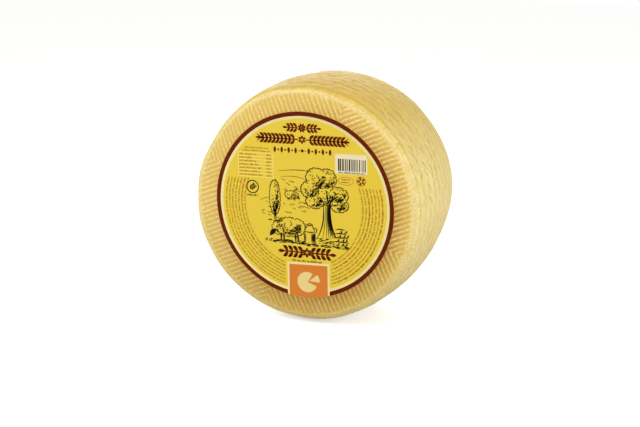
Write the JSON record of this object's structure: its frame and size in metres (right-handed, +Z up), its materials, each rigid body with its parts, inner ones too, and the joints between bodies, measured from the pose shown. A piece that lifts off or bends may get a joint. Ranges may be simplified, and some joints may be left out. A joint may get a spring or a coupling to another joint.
{
  "type": "cheese wheel",
  "caption": "Drum-shaped wheel of pressed cheese with a bulging wall, rounded edges and a round paper label on one face, standing on its rim.",
  "frame": {"origin": "middle of the small flat on the rim that the wheel stands on, midway between its two faces", "axes": "+Y along the wheel's axis, away from the label; +Z up; +X to the right of a person who faces the label"},
  "size_m": [0.2, 0.1, 0.1993],
  "materials": {
    "rind": "satin",
    "label_paper": "satin"
  },
  "bodies": {
    "root": {"cheese": "rind", "label": "label_paper"}
  },
  "joints": []
}
